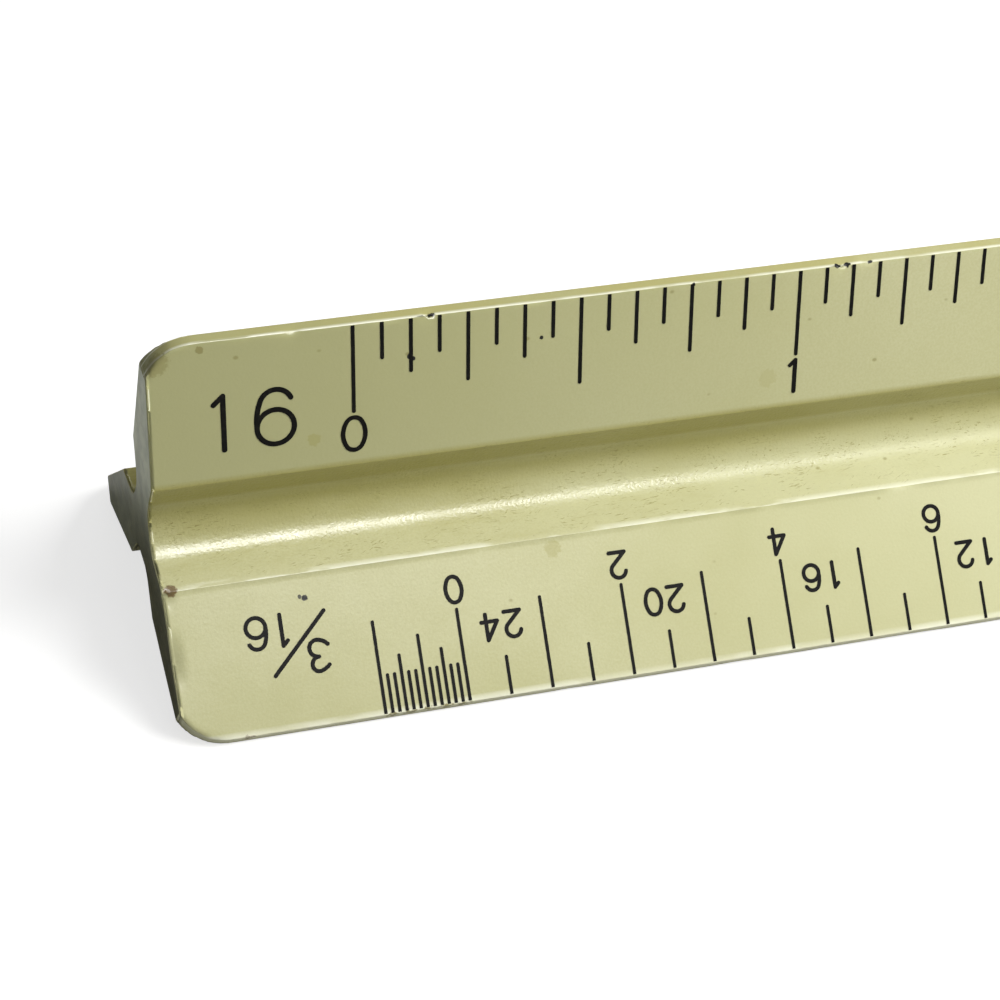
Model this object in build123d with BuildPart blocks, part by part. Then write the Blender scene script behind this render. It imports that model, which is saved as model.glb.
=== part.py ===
from build123d import *
from functools import lru_cache
from math import cos, radians, sin
import os

# Twelve-inch triangular architect's scale, lying on one of its three sides.
# Millimetres. X runs along the bar, Z is up, and the origin is under the middle of the bar.

INCH = 25.4
inches_long = 12
inch_parts = 16
inches_per_foot = 12

# The bar. Its section is the same three times round the axis: an arm, then a hollow side.
working_length = inches_long * INCH
end_margin = 11.1
bar_length = working_length + 2 * end_margin
tip_radius = 12.572
land_width = 0.75
face_width = 8.25
arm_half_angle = 14
groove_floor = 2.16
groove_half_floor = 1.13
groove_fillet = 1.6
corner_cut = 1.4
side_distance = tip_radius * cos(radians(60)) + land_width / 2 * sin(radians(60))
top_arm, front_arm, back_arm = 90, 210, 330
arms = (top_arm, front_arm, back_arm)
section_plane = Plane.YZ.offset(-bar_length / 2)
length_tolerance = 0.001

# Ink: a thin film on the scale faces, drawn with a round-ended stroke.
ink_thickness = 0.02
edge_gap = 0.06
inch_stroke = 0.21
foot_stroke = 0.18
inch_figure_stroke = 0.25
figure_stroke = 0.22
mark_stroke = 0.29

# How far each graduation runs in from the edge of its face.
full_line = 5.17
half_line = 4.1
quarter_line = 3.19
unit_line = 2.22
half_unit_line = 1.6
fine_line = 1.2

# Figures: outer height, and how far the middle lies in from the edge of the face.
figure_pitch = 0.81
half_cell = 0.32
oval_end = 0.25
oval_side = (half_cell ** 2 + (0.5 - oval_end) ** 2 - oval_end ** 2) / (2 * (half_cell - oval_end))
inch_figure = 2.18
inch_figure_depth = 6.4
foot_figure = 1.64
foot_figure_depth = 6.17
between_figure_depth = 3.85
small_figure = 1.2
small_figure_gap = 0.2
numbered_inches = (3, 6, 9)

# Scale marks in the end margins: whole numbers are tall, ratios are small figures on a slash.
mark_height = 3.45
mark_centre = 5.67
mark_depth = 4.78
ratio_figure = 1.9
ratio_pitch = 1.38
ratio_depth = 4.54
right_slash = 4.12
left_slash = 5.3
slash_length = 4.62
over_shift, over_rise = -0.98, 0.8
under_shift, under_rise = 0.88, -0.83
whole_shift = -2.75


# ---------------------------------------------------------------- the bar

def from_axis(along, across, direction):
    """Point of the section, measured along and across a line leaving the axis at direction."""
    c = cos(radians(direction))
    s = sin(radians(direction))
    return (along * c - across * s, side_distance + along * s + across * c)


def section_sketch():
    """Three arms with blunt tips; each side is hollowed down to a flat-bottomed groove."""
    half_land = land_width / 2
    root_along = tip_radius - face_width * cos(radians(arm_half_angle))
    root_across = half_land + face_width * sin(radians(arm_half_angle))
    with BuildSketch(section_plane) as section:
        tips = []
        for arm in arms:
            tips.append(from_axis(tip_radius, -half_land, arm))
            tips.append(from_axis(tip_radius, half_land, arm))
        Polygon(*tips, align=None)
        for arm in arms:
            side = arm + 60
            next_arm = arm + 120
            Polygon(
                from_axis(tip_radius, half_land, arm),
                from_axis(root_along, root_across, arm),
                from_axis(groove_floor, -groove_half_floor, side),
                from_axis(groove_floor, groove_half_floor, side),
                from_axis(root_along, -root_across, next_arm),
                from_axis(tip_radius, -half_land, next_arm),
                align=None,
                mode=Mode.SUBTRACT,
            )
        # The two corners of each groove floor are the ones nearest to the axis.
        floor_corners = section.vertices().sort_by_distance((0, side_distance))[:2 * len(arms)]
        fillet(floor_corners, groove_fillet)
    return section.sketch


def face_plane(arm, hand):
    """Plane of one scale face, seen the way it is read.

    The origin is at the first graduation on the edge of the face, x runs the way the
    figures read and y points off the edge.
    """
    c = cos(radians(arm))
    s = sin(radians(arm))
    along = Vector(0, c, s)
    across = Vector(0, -s, c) * hand
    slope = radians(arm_half_angle)
    outward = along * sin(slope) + across * cos(slope)
    edge = Vector(-hand * working_length / 2, 0, side_distance)
    edge = edge + along * tip_radius + across * (land_width / 2)
    return Plane(origin=edge, x_dir=(hand, 0, 0), z_dir=outward)


# ---------------------------------------------------------------- figures

def wire_of(*edges):
    """The connected line made of the given edges."""
    with BuildLine() as line:
        add(list(edges))
    return line.wires()[0]


def oval(left_half):
    """Half of a tall oval as high as the cell: a long side arc between two tight ends."""
    sign = -1 if left_half else 1
    side_centre = half_cell - oval_side
    turn = (0.5 - oval_end) / (oval_side - oval_end)
    join = (sign * (side_centre + oval_side * (1 - turn ** 2) ** 0.5), 0.5 + oval_side * turn)
    low_join = (join[0], 1 - join[1])
    side = ThreePointArc(low_join, (sign * half_cell, 0.5), join)
    ends = [TangentArc(join, (0, 1), tangent=side % 1), TangentArc(low_join, (0, 0), tangent=(side % 0) * -1)]
    return wire_of(side, *ends)


def bowl(start, *points):
    """Arcs through the points in turn, each running on smoothly, that set off along x."""
    arcs = []
    tangent = (1, 0)
    for point in points:
        arcs.append(TangentArc(start, point, tangent=tangent))
        start = point
        tangent = arcs[-1] % 1
    return wire_of(*arcs)


def centre_lines(figure):
    """Open strokes of one figure on a cell one unit high, with its foot at y 0."""
    left, right = -half_cell, half_cell
    if figure == "0":
        return [oval(True), oval(False)]
    if figure == "1":
        return [Polyline((-0.16, 0.85), (0, 1), (0, 0))]
    if figure == "2":
        hook = CenterArc((0, 0.705), 0.295, 170, -215)
        return [wire_of(hook, Line(hook @ 1, (left, 0)), Line((left, 0), (right, 0)))]
    if figure == "3":
        return [bowl((0.02, 0.54), (0.27, 0.77), (-0.01, 1), (-0.28, 0.84)),
                bowl((0.02, 0.54), (0.3, 0.27), (0, 0), (left, 0.18))]
    if figure == "4":
        return [Polyline((0.13, 1), (left, 0.29), (right, 0.29)), Line((0.13, 1), (0.13, 0))]
    if figure == "5":
        return [Polyline((0.25, 1), (-0.19, 1), (-0.25, 0.54)),
                ThreePointArc((-0.25, 0.54), (0.29, 0.31), (left, 0.13))]
    if figure in "69":
        crown = CenterArc((0.01, 0.72), 0.28, 22, 138)
        strokes = [wire_of(crown, TangentArc(crown @ 1, (left, 0.33), tangent=crown % 1)),
                   CenterArc((0, 0.31), right, 0, 180),
                   CenterArc((0, 0.31), right, 180, 180)]
        if figure == "6":
            return strokes
        return [stroke.rotate(Axis((0, 0.5, 0), (0, 0, 1)), 180) for stroke in strokes]
    if figure == "7":
        return [Polyline((left, 1), (right, 1), (-0.1, 0))]
    return [CenterArc((0, 0.765), 0.235, 0, 180), CenterArc((0, 0.765), 0.235, 180, 180),
            CenterArc((0, 0.265), 0.265, 0, 180), CenterArc((0, 0.265), 0.265, 180, 180)]


@lru_cache(maxsize=None)
def figure_face(figure, height, stroke):
    """One figure, centred on its cell, drawn with a round pen as wide as the stroke."""
    size = height - stroke
    outlines = []
    for line in centre_lines(figure):
        path = Wire(line.edges()).scale(size).moved(Location((0, -size / 2)))
        outlines.append(path.offset_2d(stroke / 2, kind=Kind.ARC, side=Side.BOTH))
    with BuildSketch() as face:
        for outline in outlines:
            make_face(outline.edges())
    return face.sketch


def number_figures(text, x, depth, height, stroke):
    """The figures of a number centred on x, as (figure, height, stroke) with their places."""
    pitch = figure_pitch * height
    first = x - pitch * (len(text) - 1) / 2
    return [((figure, height, stroke), (first + pitch * index, -depth))
            for index, figure in enumerate(text)]


def mark_figures(text, x):
    """The figures of a scale's mark; for a ratio, x is the middle of its slash."""
    if "/" not in text:
        return number_figures(text, x, mark_depth, mark_height, mark_stroke)
    whole, ratio = text.split("+") if "+" in text else ("", text)
    over, under = ratio.split("/")
    figures = number_figures(over, x + over_shift, ratio_depth - over_rise, ratio_figure, figure_stroke)
    for index, figure in enumerate(under):
        place = x + under_shift + index * ratio_pitch
        figures += number_figures(figure, place, ratio_depth - under_rise, ratio_figure, figure_stroke)
    figures += number_figures(whole, x + whole_shift, mark_depth, mark_height, mark_stroke)
    return figures


def figures_sketch(plane, figures, slash=None):
    """All the given figures on one face, with the slash of a ratio where there is one."""
    places = {}
    for shape, place in figures:
        places.setdefault(shape, []).append(place)
    faces = {shape: figure_face(*shape) for shape in places}
    with BuildSketch(plane) as sketch:
        for shape, points in places.items():
            with Locations(*points):
                add(faces[shape])
        if slash is not None:
            with Locations((slash, -ratio_depth)):
                SlotOverall(slash_length, figure_stroke, rotation=45)
    return sketch.sketch


# ---------------------------------------------------------------- graduations

def sixteenth_line(index):
    """Length of the line at a sixteenth of an inch."""
    for step, length in ((8, full_line), (4, half_line), (2, quarter_line)):
        if index % step == 0:
            return length
    return unit_line


def foot_line(inches):
    """Length of the line at some inches within a divided foot."""
    steps = ((12, full_line), (6, half_line), (3, quarter_line), (1, unit_line), (0.5, half_unit_line))
    for step, length in steps:
        if inches % step == 0:
            return length
    return fine_line


def inch_graduations():
    """Sixteenths of an inch over the whole working length, as (x, length)."""
    step = INCH / inch_parts
    return [(index * step, sixteenth_line(index)) for index in range(inches_long * inch_parts + 1)]


def foot_graduations(fine, coarse):
    """Two scales that share a face, each with one divided foot beyond its zero."""
    lines = []
    for inches in fine.inch_marks():
        lines.append((fine.unit * (1 - inches / inches_per_foot), foot_line(inches)))
    for inches in coarse.inch_marks():
        from_right = coarse.unit * (1 - inches / inches_per_foot)
        lines.append((working_length - from_right, foot_line(inches)))
    feet = round((working_length - fine.unit - coarse.unit) / fine.unit)
    for foot in range(1, feet):
        shared = foot % 2 == feet % 2
        lines.append((fine.unit * (1 + foot), full_line if shared else unit_line))
    return lines


def graduation_sketch(plane, lines, stroke):
    """Lines that start just inside the edge of the face and end round."""
    places = {}
    for x, length in lines:
        places.setdefault(length, []).append((x, -length / 2))
    with BuildSketch(plane) as sketch:
        for length, points in places.items():
            with Locations(*points):
                SlotOverall(length, stroke, rotation=90)
        with Locations((0, -edge_gap)):
            Rectangle(2 * bar_length, face_width, align=(Align.CENTER, Align.MAX), mode=Mode.INTERSECT)
    return sketch.sketch


class FootScale:
    """One scale of feet: its name, length of a foot, parts in the divided foot and numbering."""

    def __init__(self, mark, unit, parts, number_every):
        self.mark = mark
        self.name = mark.replace("/", "_").replace("+", "_")
        self.unit = unit * INCH
        self.parts = parts
        self.number_every = number_every

    def inch_marks(self):
        """Inches at every line of the divided foot, from its zero to its far end."""
        return [inches_per_foot * part / self.parts for part in range(self.parts + 1)]

    def numbers(self, zero, way, other_zero, row_depth):
        """Numbers of the whole feet, and of the divided foot where it is long enough."""
        figures = number_figures("0", zero, foot_figure_depth, foot_figure, figure_stroke)
        feet = int((abs(other_zero - zero) + length_tolerance) / self.unit)
        for foot in range(self.number_every, feet + 1, self.number_every):
            text = str(foot)[-2:]  # above 99 only the last two figures are drawn
            x = zero + way * foot * self.unit
            figures += number_figures(text, x, row_depth, foot_figure, figure_stroke)
        if self.unit >= INCH:
            for inches in numbered_inches:
                x = zero - way * inches * self.unit / inches_per_foot
                depth = foot_line(inches) + small_figure_gap + small_figure / 2
                figures += number_figures(str(inches), x, depth, small_figure, foot_stroke)
        return figures


# ---------------------------------------------------------------- the pieces

def ink_piece(label, sketch):
    """Film of ink standing on its scale face."""
    with BuildPart() as ink:
        extrude(sketch, amount=ink_thickness)
    ink.part.label = label
    export_step(ink.part, f"parts/{label}.step")


os.makedirs("parts", exist_ok=True)

# The plastic bar, with every arm's corners cut off at both ends.
with BuildPart() as scale_body:
    extrude(section_sketch(), amount=bar_length)
    tip_ends = scale_body.edges().filter_by(lambda edge: abs(edge.length - land_width) < length_tolerance)
    chamfer(tip_ends, corner_cut)
scale_body.part.label = "scale_body"
export_step(scale_body.part, "parts/scale_body.step")

# Top arm, front face: inches divided into sixteenths.
inch_face = face_plane(top_arm, 1)
inch_numbers = []
for inch in range(inches_long + 1):
    x = inch * INCH
    inch_numbers += number_figures(str(inch), x, inch_figure_depth, inch_figure, inch_figure_stroke)
ink_piece("lines_16", graduation_sketch(inch_face, inch_graduations(), inch_stroke))
ink_piece("numbers_16", figures_sketch(inch_face, inch_numbers))
ink_piece("mark_16", figures_sketch(inch_face, mark_figures("16", -mark_centre)))

# The other five faces: a fine scale read from the left and a coarse one from the right.
foot_faces = [
    (front_arm, -1, FootScale("3/32", 3 / 32, 6, 4), FootScale("3/16", 3 / 16, 12, 2)),
    (front_arm, 1, FootScale("1/8", 1 / 8, 6, 4), FootScale("1/4", 1 / 4, 12, 2)),
    (back_arm, -1, FootScale("1/2", 1 / 2, 12, 2), FootScale("1", 1, 24, 1)),
    (back_arm, 1, FootScale("3/8", 3 / 8, 12, 2), FootScale("3/4", 3 / 4, 24, 1)),
    (top_arm, -1, FootScale("1+1/2", 3 / 2, 48, 2), FootScale("3", 3, 96, 1)),
]
for arm, hand, fine, coarse in foot_faces:
    plane = face_plane(arm, hand)
    fine_zero = fine.unit
    coarse_zero = working_length - coarse.unit
    lines = graduation_sketch(plane, foot_graduations(fine, coarse), foot_stroke)
    fine_numbers = fine.numbers(fine_zero, 1, coarse_zero, between_figure_depth)
    coarse_numbers = coarse.numbers(coarse_zero, -1, fine_zero, foot_figure_depth)
    coarse_slash = working_length + right_slash if "/" in coarse.mark else None
    coarse_mark = mark_figures(coarse.mark, coarse_slash or working_length + mark_centre)
    ink_piece(f"lines_{fine.name}_and_{coarse.name}", lines)
    ink_piece(f"numbers_{fine.name}", figures_sketch(plane, fine_numbers))
    ink_piece(f"numbers_{coarse.name}", figures_sketch(plane, coarse_numbers))
    ink_piece(f"mark_{fine.name}", figures_sketch(plane, mark_figures(fine.mark, -left_slash), -left_slash))
    ink_piece(f"mark_{coarse.name}", figures_sketch(plane, coarse_mark, coarse_slash))
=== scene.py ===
from math import atan2, cos, pi, radians, sin, tan

import bmesh
import bpy
from mathutils import Matrix, Vector, noise
from mathutils.geometry import tessellate_polygon


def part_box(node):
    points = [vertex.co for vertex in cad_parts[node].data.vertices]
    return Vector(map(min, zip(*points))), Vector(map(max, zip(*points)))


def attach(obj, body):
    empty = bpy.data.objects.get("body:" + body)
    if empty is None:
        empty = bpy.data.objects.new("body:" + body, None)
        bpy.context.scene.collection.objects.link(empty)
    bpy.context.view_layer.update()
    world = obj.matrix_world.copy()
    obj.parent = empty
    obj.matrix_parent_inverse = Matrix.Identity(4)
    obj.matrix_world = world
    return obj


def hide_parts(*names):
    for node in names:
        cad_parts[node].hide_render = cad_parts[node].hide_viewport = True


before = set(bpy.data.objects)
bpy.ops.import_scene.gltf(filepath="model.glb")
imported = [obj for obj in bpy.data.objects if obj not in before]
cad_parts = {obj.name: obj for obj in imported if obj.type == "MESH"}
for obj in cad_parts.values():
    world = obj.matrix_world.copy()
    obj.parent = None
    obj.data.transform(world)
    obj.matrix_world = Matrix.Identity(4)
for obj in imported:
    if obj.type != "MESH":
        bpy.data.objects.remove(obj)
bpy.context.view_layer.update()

MM = 0.001

# ------------------------------------------------------------------ sizes, in millimetres

HALF_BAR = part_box("scale_body")[1].x / MM
HALF_WORKING = 152.4

# Section: three arms, each with a land at its tip and a scale face on both hands of the land.
TIP_RADIUS = 12.572
HALF_LAND = 0.375
FACE_WIDTH = 8.25
ARM_HALF_ANGLE = radians(14)
FLOOR_RADIUS = 2.16
HALF_FLOOR = 1.13
# From the axis to a side of the bar, and so the height of the axis when the bar rests on a side.
SIDE_RADIUS = TIP_RADIUS * cos(pi / 3) + HALF_LAND * sin(pi / 3)
TOP_ARM, FRONT_ARM, BACK_ARM = radians(90), radians(210), radians(330)
ARMS = (TOP_ARM, FRONT_ARM, BACK_ARM)
THIRD = radians(120)

# Soft edges of the section, and the number of steps in their arcs.
TIP_ROUND, TIP_SEGMENTS = 0.06, 4
BORDER_ROUND, BORDER_SEGMENTS = 0.07, 3
FLOOR_ROUND, FLOOR_SEGMENTS = 1.6, 12

# Both ends: each arm is cut back at its tip, and the section is rounded off by a hair.
CORNER_CUT = 1.4
CORNER_ROUND = 1.4
CORNER_SOFTNESS = 0.27
END_CORNER_ROUND = 0.7
END_CORNER_SOFTNESS = 0.4
END_ROUND = 0.06

# Spacing of the mesh points across the section.
LAND_STEP = 0.15
FACE_STEP = 0.33
WALL_STEP = 0.35
FLOOR_STEP = 0.3

# Spacing along the bar, dense over the near end, whose wear is modelled one mark at a time.
FINE_STEP = 0.4
COARSE_STEP = 0.8
FINE_LENGTH = 66
SMALLEST_STEP = 0.1
# Distances in from each end at which the first rings stand. The 0.09 ring comes before the one at
# END_ROUND, so between those two the skin turns back on itself by 0.03.
END_RINGS = (0.0, 0.04, 0.09, END_ROUND, 0.25, 0.4, 0.6, 0.8, 1.0, 1.2, 1.4, 1.6, 1.8, 2.1, 2.5)

LAND, FACE, UPPER_WALL, GROOVE = 0, 1, 2, 3
NO_EDGE, TIP_EDGE, BURR_EDGE = 0, 1, 2


# ------------------------------------------------------------------ section of the bar

def section_point(along, across, direction):
    """Point of the section, from its axis, along and across a line at direction."""
    return Vector((along * cos(direction) - across * sin(direction),
                   along * sin(direction) + across * cos(direction)))


def straight(start, end, step):
    """Points from start up to, but not including, end, about step apart."""
    count = max(1, round((end - start).length / step))
    return [start.lerp(end, i / count) for i in range(count)]


def rounded_corner(before, corner, after, radius, segments):
    """Arc of the given radius that takes the place of a corner."""
    to_before = (before - corner).normalized()
    to_after = (after - corner).normalized()
    half_angle = to_before.angle(to_after) / 2
    reach = radius / tan(half_angle)
    centre = corner + (to_before + to_after).normalized() * (radius / sin(half_angle))
    first = corner + to_before * reach - centre
    last = corner + to_after * reach - centre
    sweep = atan2(first.x * last.y - first.y * last.x, first.dot(last))
    points = []
    for i in range(segments + 1):
        turn = Matrix.Rotation(sweep * i / segments, 2)
        points.append(centre + turn @ first)
    return points


def face_ends(arm, hand):
    """Outer edge and groove border of the scale face on one hand of an arm."""
    root_along = TIP_RADIUS - FACE_WIDTH * cos(ARM_HALF_ANGLE)
    root_across = HALF_LAND + FACE_WIDTH * sin(ARM_HALF_ANGLE)
    edge = section_point(TIP_RADIUS, hand * HALF_LAND, arm)
    border = section_point(root_along, hand * root_across, arm)
    return edge, border


def third_of_section(arm):
    """Outline from the middle of one arm's tip to the middle of the next arm's tip.

    Every point comes with its region and the kind of edge it lies on.
    """
    side = arm + pi / 3
    first_edge, first_border = face_ends(arm, 1)
    last_edge, last_border = face_ends(arm + THIRD, -1)
    corners = [
        (section_point(TIP_RADIUS, 0, arm), 0, 0, NO_EDGE),
        (first_edge, TIP_ROUND, TIP_SEGMENTS, TIP_EDGE),
        (first_border, BORDER_ROUND, BORDER_SEGMENTS, NO_EDGE),
        (section_point(FLOOR_RADIUS, -HALF_FLOOR, side), FLOOR_ROUND, FLOOR_SEGMENTS, NO_EDGE),
        (section_point(FLOOR_RADIUS, HALF_FLOOR, side), FLOOR_ROUND, FLOOR_SEGMENTS, NO_EDGE),
        (last_border, BORDER_ROUND, BORDER_SEGMENTS, BURR_EDGE),
        (last_edge, TIP_ROUND, TIP_SEGMENTS, TIP_EDGE),
        (section_point(TIP_RADIUS, 0, arm + THIRD), 0, 0, NO_EDGE),
    ]
    regions = [LAND, FACE, UPPER_WALL, GROOVE, GROOVE, FACE, LAND]
    steps = [LAND_STEP, FACE_STEP, WALL_STEP, FLOOR_STEP, WALL_STEP, FACE_STEP, LAND_STEP]
    outline = []
    previous = corners[0][0]
    for i in range(1, len(corners)):
        corner, radius, segments, edge = corners[i]
        arc = [corner]
        if segments:
            arc = rounded_corner(corners[i - 1][0], corner, corners[i + 1][0], radius, segments)
        for point in straight(previous, arc[0], steps[i - 1]):
            outline.append((point, regions[i - 1], NO_EDGE))
        if segments:
            for point in arc[:-1]:
                outline.append((point, regions[i], edge))
        previous = arc[-1]
    return outline


def whole_section():
    """Closed outline of the section, anticlockwise from the middle of the top arm's tip."""
    outline = []
    for arm in ARMS:
        outline += third_of_section(arm)
    return outline


def outward_normals(points):
    """Outward normal at every point of a closed outline that runs anticlockwise."""
    normals = []
    for i, point in enumerate(points):
        chord = points[(i + 1) % len(points)] - points[i - 1]
        normals.append(Vector((chord.y, -chord.x)).normalized())
    return normals


def tip_limit(end_distance):
    """How far out an arm reaches, this far from the end of the bar."""
    cut = max(0.0, CORNER_CUT - end_distance)
    soft = max(0.0, 1 - abs(end_distance - CORNER_CUT) / CORNER_ROUND)
    softer = max(0.0, 1 - end_distance / END_CORNER_ROUND)
    return TIP_RADIUS - cut - CORNER_SOFTNESS * soft * soft - END_CORNER_SOFTNESS * softer * softer


def end_inset(end_distance):
    """How far the rounding of the ends draws the section in, this far from the end of the bar."""
    if end_distance >= END_ROUND:
        return 0.0
    rest = 1 - end_distance / END_ROUND
    return END_ROUND * (1 - (1 - rest * rest) ** 0.5)


# ------------------------------------------------------------------ wear, in millimetres

# Each ripple has an amount, a wavelength and a seed that sets it apart from the others.
RIPPLE_SEED = 0.37
EDGE_WEAR, EDGE_WEAR_LENGTH, EDGE_WEAR_SEED = 0.09, 2.3, 3.1
EDGE_WEAR_START = 0.2
EDGE_SEED_STEP = 0.05
BURR_RIPPLE, BURR_LENGTH, BURR_SEED = 0.025, 1.3, 0.4
BURR_HEIGHT = 0.015
GROOVE_RIPPLE, GROOVE_LENGTH, GROOVE_SEED_STEP = 0.012, 6.0, 0.2

# Nicks in the front edge of the top arm: distance from the zero line, depth and half length.
TOP_NICKS = ((4.3, 0.22, 0.3), (27.9, 0.2, 0.35), (29.5, 0.16, 0.22), (-3.2, 0.08, 0.5))
NICK_REACH = 0.5

# Chips in the near end's arris: distance in from the edge of the lower face, half width and depth.
END_CHIPS = ((4.6, 1.5, 0.22), (8.0, 0.5, 0.2))
END_CHIP_REACH = 0.7
# A point this close to the face counts as being on it.
ON_FACE = 0.05
ARRIS_WEAR, ARRIS_WAVES, ARRIS_SEED = 0.03, 0.4, 5.2

UPPER_FACE = face_ends(TOP_ARM, 1)
LOWER_FACE = face_ends(FRONT_ARM, -1)


def ripple(x, seed, wavelength):
    """Smooth noise along the bar, between -1 and 1."""
    return noise.noise(Vector((x / wavelength, seed, RIPPLE_SEED)))


def wear_depth(x, index, edge, region):
    """How far the surface is worn in from its ideal place, or stands out as a burr."""
    depth = 0.0
    if edge == TIP_EDGE and region == FACE:
        wave = ripple(x, index * EDGE_SEED_STEP + EDGE_WEAR_SEED, EDGE_WEAR_LENGTH)
        depth += EDGE_WEAR * max(0.0, wave - EDGE_WEAR_START)
    if edge == BURR_EDGE:
        depth -= BURR_HEIGHT + BURR_RIPPLE * ripple(x, BURR_SEED, BURR_LENGTH)
    if region in (UPPER_WALL, GROOVE):
        depth += GROOVE_RIPPLE * ripple(x, index * GROOVE_SEED_STEP, GROOVE_LENGTH)
    return depth


def end_chip(point):
    """How far the arris of the near end is worn, with two chips along the front arm's lower face."""
    edge, border = LOWER_FACE
    down_face = (border - edge).normalized()
    along_face = (point - edge).dot(down_face)
    off_face = abs((point - edge).cross(down_face))
    wave = noise.noise(Vector((point.x * ARRIS_WAVES, point.y * ARRIS_WAVES, ARRIS_SEED)))
    depth = ARRIS_WEAR * max(0.0, wave)
    if off_face < ON_FACE:
        for place, half_width, deep in END_CHIPS:
            depth += deep * max(0.0, 1 - ((along_face - place) / half_width) ** 2)
    return depth


def nick_depth(x, point):
    """Dents in the front edge of the top arm."""
    away = (point - UPPER_FACE[0]).length
    depth = 0.0
    for place, deep, half_length in TOP_NICKS:
        along = (x + HALF_WORKING - place) / half_length
        depth += deep * max(0.0, 1 - along * along) * max(0.0, 1 - away / NICK_REACH)
    return depth


# ------------------------------------------------------------------ mesh of the bar

# What the mesh marks at each point, for the plastic to read.
MARKED = ("groove", "overhang_shade_and_film", "land", "worn_edge", "burr")
# How far the painted shade and dirt film under an arm reach from the foot of its wall across the groove
# floor.
SHADE_AND_FILM_REACH = 1.7


def ring_places():
    """Distances along the bar, from its middle, at which the section is placed."""
    places = [-HALF_BAR + e for e in END_RINGS]
    x = places[-1] + FINE_STEP
    while x < HALF_BAR - END_RINGS[-1] - SMALLEST_STEP:
        places.append(x)
        x += FINE_STEP if x < -HALF_BAR + FINE_LENGTH else COARSE_STEP
    return places + [HALF_BAR - e for e in reversed(END_RINGS)]


def overhang_shade_and_film(point, region):
    """Painted shade with dirt film under an arm: one on the groove wall next to its first face, falling
    to nought across the floor.
    """
    if region == UPPER_WALL:
        return 1.0
    if region != GROOVE:
        return 0.0
    nearest = min((point - section_point(FLOOR_RADIUS, -HALF_FLOOR, arm + pi / 3)).length
                  for arm in ARMS)
    return max(0.0, 1 - nearest / SHADE_AND_FILM_REACH)


def cut_to(place, arm_lines, limit):
    """The place, moved back to where the cut corner of an arm ends, if it lies beyond."""
    for line in arm_lines:
        over = place.dot(line) - limit
        if over > 0:
            place = place - line * over
    return place


def close_ends(bm, rings, points):
    """Triangles over both ends, worked out on the ideal outline, with the sawn material."""
    flat_outline = [Vector((point.x, point.y, 0)) for point in points]
    for triangle in tessellate_polygon([flat_outline]):
        for ring in (rings[0], rings[-1]):
            cap = bm.faces.new([ring[i] for i in triangle])
            cap.material_index = 1


def bar_mesh():
    """The bar as rings of its section, with soft edges, corner cuts and wear."""
    outline = whole_section()
    points = [entry[0] for entry in outline]
    normals = outward_normals(points)
    shade_and_film_marks = [overhang_shade_and_film(point, region) for point, region, edge in outline]
    arm_lines = [Vector((cos(arm), sin(arm))) for arm in ARMS]
    mesh = bpy.data.meshes.new("bar")
    bm = bmesh.new()
    layers = {name: bm.verts.layers.float.new(name) for name in MARKED}
    rings = []
    for x in ring_places():
        end_distance = HALF_BAR - abs(x)
        limit = tip_limit(end_distance)
        inset = end_inset(end_distance)
        chip_share = max(0.0, 1 - end_distance / END_CHIP_REACH) if x < 0 else 0.0
        ring = []
        for i, (point, region, edge) in enumerate(outline):
            depth = inset + wear_depth(x, i, edge, region) + nick_depth(x, point)
            depth += chip_share * end_chip(point)
            place = cut_to(point - normals[i] * depth, arm_lines, limit)
            vert = bm.verts.new((x * MM, place.x * MM, (place.y + SIDE_RADIUS) * MM))
            marks = (region in (UPPER_WALL, GROOVE), shade_and_film_marks[i], region == LAND,
                     edge == TIP_EDGE, edge == BURR_EDGE)
            for name, mark in zip(MARKED, marks):
                vert[layers[name]] = float(mark)
            ring.append(vert)
        rings.append(ring)
    count = len(outline)
    for near, far in zip(rings, rings[1:]):
        for i in range(count):
            j = (i + 1) % count
            bm.faces.new((near[i], far[i], far[j], near[j]))
    close_ends(bm, rings, points)
    bmesh.ops.recalc_face_normals(bm, faces=bm.faces)
    # The long faces have four corners and are smooth; the triangles of the ends are flat.
    for face in bm.faces:
        face.smooth = len(face.verts) == 4
    bm.to_mesh(mesh)
    bm.free()
    return mesh


bar = bpy.data.objects.new("bar", bar_mesh())
bpy.context.scene.collection.objects.link(bar)
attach(bar, "root")
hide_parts("scale_body")


# ------------------------------------------------------------------ material helpers

# Share of a spot's radius that is solid before its edge fades.
SPOT_CORE = 0.75


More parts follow.
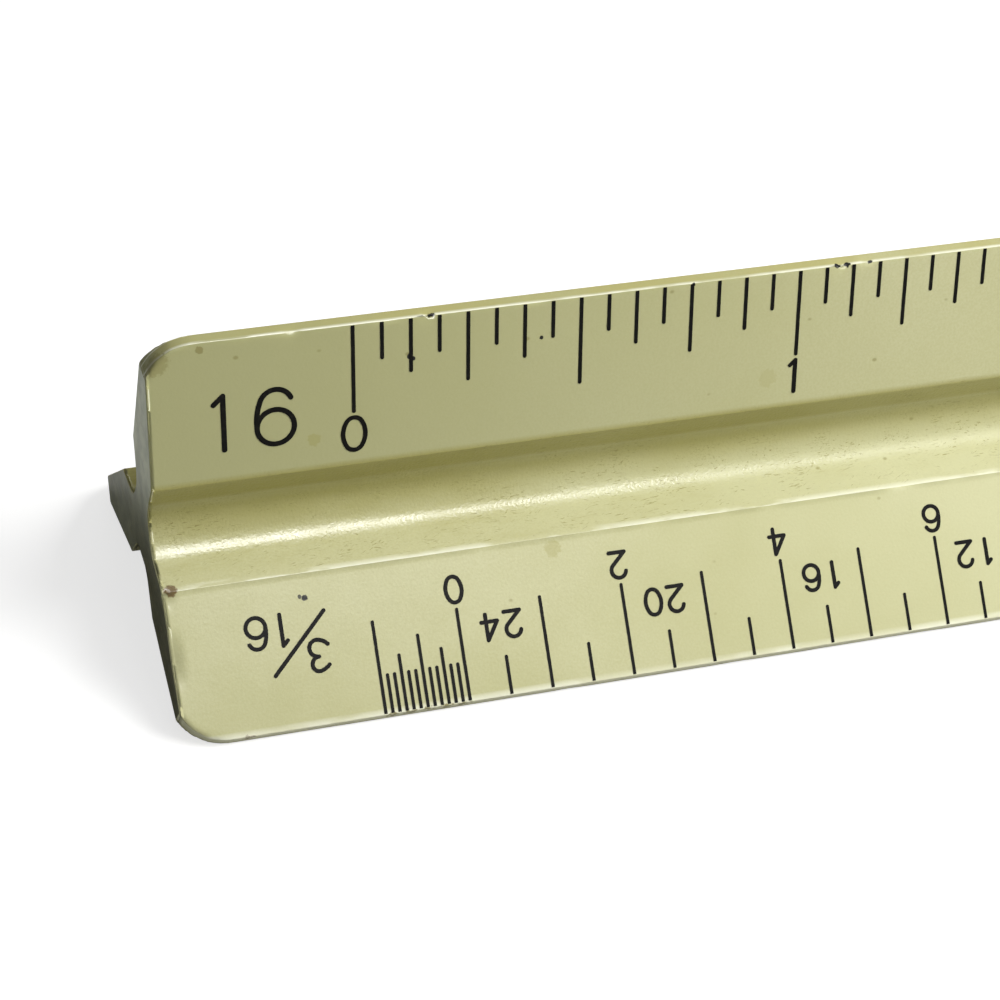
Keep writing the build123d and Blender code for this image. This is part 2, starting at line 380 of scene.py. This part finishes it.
class Material:
    """A node material with short calls for the nodes that this object uses."""

    def __init__(self, name):
        self.material = bpy.data.materials.new(name)
        self.material.use_nodes = True
        self.tree = self.material.node_tree
        self.surface = self.tree.nodes["Principled BSDF"]
        self.place = self.add("ShaderNodeTexCoord").outputs["Object"]

    def add(self, kind, **settings):
        """New node with the given settings."""
        node = self.tree.nodes.new(kind)
        for key, value in settings.items():
            setattr(node, key, value)
        return node

    def feed(self, socket, value):
        """Links a socket to another node's output, or sets a plain value."""
        if isinstance(value, bpy.types.NodeSocket):
            self.tree.links.new(value, socket)
        else:
            socket.default_value = value

    def in_sizes(self, size, stretch, turn=0.0):
        """Place counted in steps of size millimetres, stretched along axes turned about Z."""
        node = self.add("ShaderNodeMapping", vector_type="TEXTURE")
        self.feed(node.inputs["Vector"], self.place)
        self.feed(node.inputs["Rotation"], (0, 0, turn))
        self.feed(node.inputs["Scale"], [size * MM * factor for factor in stretch])
        return node.outputs["Vector"]

    def noise(self, size, detail=2.0, stretch=(1, 1, 1), rough=0.5, turn=0.0):
        """Noise with features about size millimetres across."""
        node = self.add("ShaderNodeTexNoise")
        self.feed(node.inputs["Vector"], self.in_sizes(size, stretch, turn))
        self.feed(node.inputs["Scale"], 1.0)
        self.feed(node.inputs["Detail"], detail)
        self.feed(node.inputs["Roughness"], rough)
        return node.outputs["Fac"]

    def cells(self, size, stretch):
        """Distance to the nearest of many scattered points, about size millimetres apart."""
        node = self.add("ShaderNodeTexVoronoi")
        self.feed(node.inputs["Vector"], self.in_sizes(size, stretch))
        self.feed(node.inputs["Scale"], 1.0)
        return node.outputs["Distance"]

    def attribute(self, name):
        """What the mesh marks under this name."""
        return self.add("ShaderNodeAttribute", attribute_name=name).outputs["Fac"]

    def ramp(self, value, low, high, to_low=0.0, to_high=1.0):
        """Smooth change from to_low, where the value is low, to to_high, where it is high."""
        node = self.add("ShaderNodeMapRange", interpolation_type="SMOOTHSTEP")
        self.feed(node.inputs["Value"], value)
        for socket, number in zip(node.inputs[1:5], (low, high, to_low, to_high)):
            socket.default_value = number
        return node.outputs["Result"]

    def math(self, operation, a, b):
        """One arithmetic step on two values."""
        node = self.add("ShaderNodeMath", operation=operation)
        self.feed(node.inputs[0], a)
        self.feed(node.inputs[1], b)
        return node.outputs["Value"]

    def product(self, *factors):
        """All the factors multiplied together."""
        result = factors[0]
        for factor in factors[1:]:
            result = self.math("MULTIPLY", result, factor)
        return result

    def mix(self, amount, a, b):
        """Colour a, with this amount of colour b over it."""
        node = self.add("ShaderNodeMix", data_type="RGBA", blend_type="MIX")
        self.feed(node.inputs["Factor"], amount)
        self.feed(node.inputs["A"], a)
        self.feed(node.inputs["B"], b)
        return node.outputs["Result"]

    def spot(self, centre, radius, ragged):
        """One inside a ball with a ragged edge, nought outside it; all in millimetres."""
        node = self.add("ShaderNodeVectorMath", operation="DISTANCE")
        self.feed(node.inputs[0], self.place)
        self.feed(node.inputs[1], [c * MM for c in centre])
        shift = self.math("MULTIPLY", self.math("SUBTRACT", ragged, 0.5), radius * MM)
        away = self.math("ADD", node.outputs["Value"], shift)
        return self.ramp(away, SPOT_CORE * radius * MM, radius * MM, 1.0, 0.0)

    def along(self, axis):
        """Place along one axis of the object, in millimetres."""
        node = self.add("ShaderNodeSeparateXYZ")
        self.feed(node.inputs["Vector"], self.place)
        return self.math("MULTIPLY", node.outputs[axis], 1 / MM)

    def bump(self, height, strength, distance):
        """Surface relief, with its distance in millimetres."""
        node = self.add("ShaderNodeBump")
        self.feed(node.inputs["Height"], height)
        self.feed(node.inputs["Strength"], strength)
        self.feed(node.inputs["Distance"], distance * MM)
        return node.outputs["Normal"]

    def finish(self, colour, roughness, normal=None):
        """Feeds the surface and gives back the finished material."""
        self.feed(self.surface.inputs["Base Color"], colour)
        self.feed(self.surface.inputs["Roughness"], roughness)
        if normal is not None:
            self.feed(self.surface.inputs["Normal"], normal)
        return self.material


# ------------------------------------------------------------------ colours

CREAM = (0.56, 0.55, 0.285, 1)
CREAM_PALE = (0.62, 0.61, 0.35, 1)
CREAM_DULL = (0.49, 0.47, 0.215, 1)
# Paler cream: the cleaner grooves, and painted light on the lower half away from the near end.
CREAM_CLEAN_AND_LIT = (0.64, 0.635, 0.38, 1)
# Darker cream, painted shade on the near end of the upper half.
SHADED_CREAM = (0.44, 0.435, 0.205, 1)
# Land colour painted paler, lifting the shade on the lands the bar rests on.
LAND_PAINTED_PALE = (0.8, 0.79, 0.55, 1)
YELLOWED_LAND = (0.5, 0.46, 0.17, 1)
# Near-white for rubbed edges and burrs: wear with a painted highlight.
PALE_EDGE_AND_HIGHLIGHT = (0.88, 0.88, 0.68, 1)
# Dirt film colour, also used as painted shade on the groove walls under the arms.
FILM_AND_SHADE = (0.39, 0.36, 0.11, 1)
OLIVE = (0.27, 0.235, 0.07, 1)
BROWN = (0.16, 0.095, 0.03, 1)
# Sawn ends: painted sheen and painted shade of the same plastic, each plain and scuffed.
END_SHEEN, END_SHEEN_SCUFFED = (0.6, 0.65, 0.46, 1), (0.82, 0.87, 0.63, 1)
END_SHADE, END_SHADE_SCUFFED = (0.08, 0.08, 0.025, 1), (0.14, 0.14, 0.055, 1)
INK = (0.004, 0.0037, 0.003, 1)
INK_GREYED = (0.012, 0.011, 0.008, 1)
FLOOR = (0.5, 0.5, 0.49, 1)
WHITE = (1, 1, 1, 1)


# ------------------------------------------------------------------ materials

# Where looks change: heights and places along and across the bar, in millimetres.
LOWER_HALF = (9.5, 10.5)
UPPER_HALF = (9.5, 11.5)
TOP_LAND = (18, 19)
RESTING_LANDS = (1, 3)
BRIGHTER_FACES = (-145, -115)
SHADED_END = (-HALF_BAR, -HALF_BAR + 50)
DIRTY_GROOVES = (-HALF_BAR + 10, -HALF_BAR + 45)
SHEEN_HEIGHTS = (4.5, 12.5)
BACK_OF_END = (-2, 6)

# Scratches in the grooves: turn from the bar's length, width, and size of the patches they keep to.
SCRATCHES = ((0.1, 0.08, 2.3), (-0.3, 0.06, 1.7), (0.5, 0.07, 1.3))

# Single marks: face, distance right of the zero line, distance in from the face's edge, radius,
# colour and strength.
BLEMISHES = (
    (UPPER_FACE, 4.3, -0.05, 0.3, INK, 1.0),
    (UPPER_FACE, 27.65, -0.05, 0.28, INK, 1.0),
    (UPPER_FACE, 28.15, -0.05, 0.26, INK, 1.0),
    (UPPER_FACE, 29.5, 0.0, 0.2, INK, 1.0),
    (UPPER_FACE, 19.1, 0.1, 0.13, INK, 1.0),
    (UPPER_FACE, 3.1, 2.25, 0.19, INK, 1.0),
    (UPPER_FACE, 3.3, 2.42, 0.15, INK, 1.0),
    (UPPER_FACE, 10.45, 2.13, 0.13, INK, 1.0),
    (UPPER_FACE, -8.2, 0.4, 0.25, OLIVE, 0.7),
    (UPPER_FACE, -10.6, 0.9, 0.8, OLIVE, 0.5),
    (UPPER_FACE, 23.8, 6.36, 0.6, CREAM_DULL, 0.6),
    (UPPER_FACE, -2.2, 6.45, 0.4, FILM_AND_SHADE, 0.5),
    (LOWER_FACE, -3.5, 6.92, 0.2, INK, 1.0),
    (LOWER_FACE, -3.75, 7.0, 0.13, INK, 0.9),
    (LOWER_FACE, 10.7, 7.6, 0.5, FILM_AND_SHADE, 0.4),
    (LOWER_FACE, -10.6, 8.35, 0.42, BROWN, 0.9),
    (LOWER_FACE, -7.6, -0.5, 0.62, BROWN, 0.7),
    (LOWER_FACE, 0.4, -0.5, 0.64, OLIVE, 0.9),
    (LOWER_FACE, 1.4, -0.5, 0.66, OLIVE, 0.9),
    (LOWER_FACE, 2.4, -0.5, 0.62, OLIVE, 0.9),
    (LOWER_FACE, 3.4, -0.5, 0.66, OLIVE, 0.9),
    (LOWER_FACE, 4.4, -0.5, 0.64, OLIVE, 0.9),
)


def on_face(face, from_zero, depth):
    """Place, in millimetres, this far right of the zero line and in from the edge of a face."""
    edge, border = face
    point = edge.lerp(border, depth / FACE_WIDTH)
    return (from_zero - HALF_WORKING, point.x, point.y + SIDE_RADIUS)


def base_cream(m):
    """Slow yellowing, finer mottling and a grain as fine as the moulded skin, with painted shade at the
    near end of the upper half and painted light further along the lower half.
    """
    colour = m.mix(m.ramp(m.noise(16, 3), 0.35, 0.65), CREAM, CREAM_PALE)
    colour = m.mix(m.ramp(m.noise(4, 2), 0.2, 0.8, 0, 0.2), colour, CREAM_DULL)
    colour = m.mix(m.ramp(m.noise(0.13, 2), 0.3, 0.7, 0, 0.3), colour, CREAM_DULL)
    # Away from the near end the lower half is painted paler, a painted light that grows along the bar.
    lower = m.ramp(m.along("Z"), *LOWER_HALF, 1, 0)
    colour = m.mix(m.product(lower, m.ramp(m.along("X"), *BRIGHTER_FACES, 0, 0.45)), colour, CREAM_CLEAN_AND_LIT)
    # The near end of the upper half is painted darker, a painted shade for the light falling off towards
    # that end.
    near_end = m.ramp(m.along("X"), *SHADED_END, 0.85, 0)
    return m.mix(m.product(near_end, m.ramp(m.along("Z"), *UPPER_HALF)), colour, SHADED_CREAM)


def with_groove_dirt_and_shade(m, colour):
    """A patchy film in the grooves, thickest near the end, with painted shade mixed into the film on the
    walls under the arms, fading across the floor.
    """
    groove = m.attribute("groove")
    cleaner = m.ramp(m.along("X"), *DIRTY_GROOVES, 0, 0.75)
    colour = m.mix(m.product(groove, cleaner), colour, CREAM_CLEAN_AND_LIT)
    film_share = m.ramp(m.along("X"), *DIRTY_GROOVES, 0.4, 0.15)
    patches = m.product(m.ramp(m.noise(3.5, 6, (3, 1, 1), 0.65), 0.42, 0.66), film_share)
    colour = m.mix(m.product(groove, patches), colour, FILM_AND_SHADE)
    # Painted shade under each overhanging arm, mixed with dirt film: darkest on the wall, fading across
    # the floor.
    thick_shade_and_film = m.ramp(m.noise(5, 4, (3, 1, 1)), 0.3, 0.6, 0.85, 1.0)
    colour = m.mix(m.product(m.attribute("overhang_shade_and_film"), thick_shade_and_film), colour, FILM_AND_SHADE)
    # In the film lie fine scratches, more or less along the bar, and small ragged blotches.
    for turn, width, zone_size in SCRATCHES:
        scratches = m.ramp(m.noise(width, 2, (9, 1, 1), 0.6, turn), 0.62, 0.68)
        zone = m.ramp(m.noise(zone_size, 5, (2, 1, 1), 0.6, turn), 0.48, 0.6, 0.05, 0.8)
        colour = m.mix(m.product(groove, scratches, zone), colour, OLIVE)
    blotches = m.ramp(m.noise(0.4, 8, (1.5, 1, 1), 0.85), 0.6, 0.68)
    blotch_zone = m.ramp(m.noise(2.6, 4, (2, 1, 1)), 0.48, 0.6, 0.1, 0.8)
    return m.mix(m.product(groove, blotches, blotch_zone), colour, OLIVE)


def with_edge_wear_and_painted_light(m, colour):
    """The top land is yellowed, the two it rests on are painted paler to lift the shade on them, and the
    edges are rubbed pale with painted highlights.
    """
    land = m.attribute("land")
    yellowed = m.ramp(m.noise(3, 3, (2, 1, 1)), 0.35, 0.65, 0.3, 0.75)
    colour = m.mix(m.product(land, m.ramp(m.along("Z"), *TOP_LAND), yellowed), colour, YELLOWED_LAND)
    # The lands it rests on are painted paler, lifting the shade that falls on them.
    colour = m.mix(m.product(land, m.ramp(m.along("Z"), *RESTING_LANDS, 0.8, 0)), colour, LAND_PAINTED_PALE)
    # Rubbed wear on the edges, painted near-white as a painted highlight.
    rubbed_and_highlit = m.ramp(m.noise(1.4, 3, (3, 1, 1)), 0.40, 0.52, 0.2, 0.9)
    colour = m.mix(m.product(m.attribute("worn_edge"), rubbed_and_highlit), colour, PALE_EDGE_AND_HIGHLIGHT)
    # One border of each groove carries a broken burr, painted bright as a painted highlight along it.
    broken = m.ramp(m.noise(1.1, 3, (4, 1, 1)), 0.38, 0.48, 0.1, 0.95)
    return m.mix(m.product(m.attribute("burr"), broken), colour, PALE_EDGE_AND_HIGHLIGHT)


def with_single_marks(m, colour):
    """The blemishes, each a spot with a ragged outline."""
    ragged = m.noise(0.22, 3)
    for face, from_zero, depth, radius, stain, strength in BLEMISHES:
        spot = m.spot(on_face(face, from_zero, depth), radius, ragged)
        colour = m.mix(m.product(spot, strength), colour, stain)
    return colour


def aged_plastic():
    """Cream plastic, yellowed, with painted shade and painted highlights, a soft sheen and a fine grain.
    """
    m = Material("aged_cream_plastic")
    colour = with_groove_dirt_and_shade(m, base_cream(m))
    # A few stray specks lie all over the bar.
    stray = m.product(m.ramp(m.cells(2.6, (1.3, 1, 1)), 0.02, 0.06, 1, 0), 0.6)
    colour = with_edge_wear_and_painted_light(m, m.mix(stray, colour, OLIVE))
    colour = with_single_marks(m, colour)
    grain = m.math("ADD", m.product(m.noise(0.3, 3, (5, 1, 1)), 0.5), m.noise(0.16, 2))
    relief = m.math("ADD", m.product(m.attribute("groove"), 0.5), 0.22)
    rough = m.ramp(m.noise(3, 3), 0.3, 0.7, 0.29, 0.37)
    return m.finish(colour, rough, m.bump(grain, relief, 0.03))


def sawn_end():
    """Sawn section: painted sheen makes it pale at the top, and painted shade darkens it towards the
    resting side; scuffs and saw marks lie over both.
    """
    m = Material("sawn_plastic_end")
    scuffs = m.ramp(m.noise(1.6, 5, (1, 1, 1), 0.6), 0.35, 0.65)
    pale = m.mix(scuffs, END_SHEEN, END_SHEEN_SCUFFED)
    dark = m.mix(scuffs, END_SHADE, END_SHADE_SCUFFED)
    # The painted sheen is strongest on the top arm's end, then on the back arm's.
    back = m.ramp(m.along("Y"), *BACK_OF_END, 0.0, 0.35)
    sheen_share = m.math("ADD", m.ramp(m.along("Z"), *SHEEN_HEIGHTS), back)
    colour = m.mix(m.math("MINIMUM", sheen_share, 1.0), dark, pale)
    marks = m.noise(0.16, 3, (1, 14, 3))
    colour = m.mix(m.ramp(marks, 0.6, 0.72, 0, 0.5), colour, OLIVE)
    return m.finish(colour, 0.32, m.bump(marks, 0.6, 0.06))


def black_ink():
    """Matt black filling, greyed in places."""
    m = Material("black_filling_ink")
    colour = m.mix(m.ramp(m.noise(0.25, 3), 0.5, 0.75), INK, INK_GREYED)
    m.feed(m.surface.inputs["Specular IOR Level"], 0.15)
    return m.finish(colour, 0.55, m.bump(m.noise(0.12, 2), 0.3, 0.01))


bar.data.materials.append(aged_plastic())
bar.data.materials.append(sawn_end())
ink = black_ink()
for name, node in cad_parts.items():
    if name != "scale_body":
        node.data.materials.clear()
        node.data.materials.append(ink)


# ------------------------------------------------------------------ floor and light, in metres and watts

FLOOR_HALF = 3.0
FLOOR_GLOW = 0.7
# The key lights every surface; the strip is only seen as the sheen in the groove's lower fillet.
KEY_PLACE, KEY_TARGET = (0.02, -0.085, 0.21), (-0.11, 0, 0)
KEY_WIDTH, KEY_HEIGHT, KEY_POWER = 0.16, 0.16, 0.92
STRIP_PLACE, STRIP_TARGET = (-0.115, -0.085, 0.275), (-0.15, 0, 0.01)
STRIP_WIDTH, STRIP_HEIGHT, STRIP_POWER = 0.055, 0.15, 1.15
SURROUNDING_LIGHT = 0.15


def make_floor():
    """Plain pale floor, brightened only for the camera."""
    half = FLOOR_HALF
    mesh = bpy.data.meshes.new("floor")
    mesh.from_pydata([(-half, -half, 0), (half, -half, 0), (half, half, 0), (-half, half, 0)], [],
                     [(0, 1, 2, 3)])
    floor = bpy.data.objects.new("floor", mesh)
    bpy.context.scene.collection.objects.link(floor)
    m = Material("pale_floor")
    seen = m.add("ShaderNodeLightPath").outputs["Is Camera Ray"]
    m.feed(m.surface.inputs["Emission Color"], WHITE)
    m.feed(m.surface.inputs["Emission Strength"], m.math("MULTIPLY", seen, FLOOR_GLOW))
    floor.data.materials.append(m.finish(FLOOR, 0.8))


def area_light(name, place, target, width, height, power):
    """Soft rectangular light that faces its target."""
    light = bpy.data.lights.new(name, "AREA")
    light.shape = "RECTANGLE"
    light.size = width
    light.size_y = height
    light.energy = power
    lamp = bpy.data.objects.new(name, light)
    lamp.location = place
    lamp.rotation_mode = "QUATERNION"
    lamp.rotation_quaternion = (Vector(target) - Vector(place)).to_track_quat("-Z", "Y")
    bpy.context.scene.collection.objects.link(lamp)
    return lamp


def make_surroundings():
    """White to the camera, and a dim even light to everything else."""
    world = bpy.data.worlds.new("studio")
    bpy.context.scene.world = world
    world.use_nodes = True
    nodes = world.node_tree.nodes
    background = nodes["Background"]
    background.inputs["Color"].default_value = WHITE
    seen = nodes.new("ShaderNodeLightPath").outputs["Is Camera Ray"]
    brightness = nodes.new("ShaderNodeMapRange")
    brightness.inputs["To Min"].default_value = SURROUNDING_LIGHT
    world.node_tree.links.new(seen, brightness.inputs["Value"])
    world.node_tree.links.new(brightness.outputs["Result"], background.inputs["Strength"])


make_floor()
key = area_light("key", KEY_PLACE, KEY_TARGET, KEY_WIDTH, KEY_HEIGHT, KEY_POWER)
key.visible_glossy = False
strip = area_light("strip", STRIP_PLACE, STRIP_TARGET, STRIP_WIDTH, STRIP_HEIGHT, STRIP_POWER)
strip.visible_diffuse = False
make_surroundings()
bpy.context.scene.view_settings.view_transform = "Standard"


# ------------------------------------------------------------------ camera

# The camera is set out from the middle of the front side, at the zero line, in that side's axes.
CAMERA_LENS = 103.06
CAMERA_AZIMUTH = radians(16.137)
CAMERA_ELEVATION = radians(12.757)
CAMERA_ROLL = radians(-4.346)
CAMERA_PLACE = Vector((-34.506, -144.449, 34.284))
SIDE_LEAN = radians(-30)
CLIP_START = 0.01


def make_camera():
    """Camera before the near end, facing the front side, a little along it and a little down."""
    right = Vector((cos(CAMERA_AZIMUTH), -sin(CAMERA_AZIMUTH), 0))
    ahead = Vector((sin(CAMERA_AZIMUTH) * cos(CAMERA_ELEVATION),
                    cos(CAMERA_AZIMUTH) * cos(CAMERA_ELEVATION), -sin(CAMERA_ELEVATION)))
    up = right.cross(ahead)
    rolled_right = right * cos(CAMERA_ROLL) + up * sin(CAMERA_ROLL)
    rolled_up = up * cos(CAMERA_ROLL) - right * sin(CAMERA_ROLL)
    axes = Matrix((rolled_right, rolled_up, -ahead)).transposed().to_4x4()
    lean = Matrix.Rotation(SIDE_LEAN, 4, "X")
    side_middle = section_point(SIDE_RADIUS, 0, TOP_ARM + pi / 3)
    origin = Vector((-HALF_WORKING, side_middle.x, side_middle.y + SIDE_RADIUS))
    camera = bpy.data.objects.new("camera", bpy.data.cameras.new("camera"))
    camera.data.lens = CAMERA_LENS
    camera.data.clip_start = CLIP_START
    camera.matrix_world = Matrix.Translation((origin + lean @ CAMERA_PLACE) * MM) @ lean @ axes
    bpy.context.scene.collection.objects.link(camera)
    bpy.context.scene.camera = camera


make_camera()
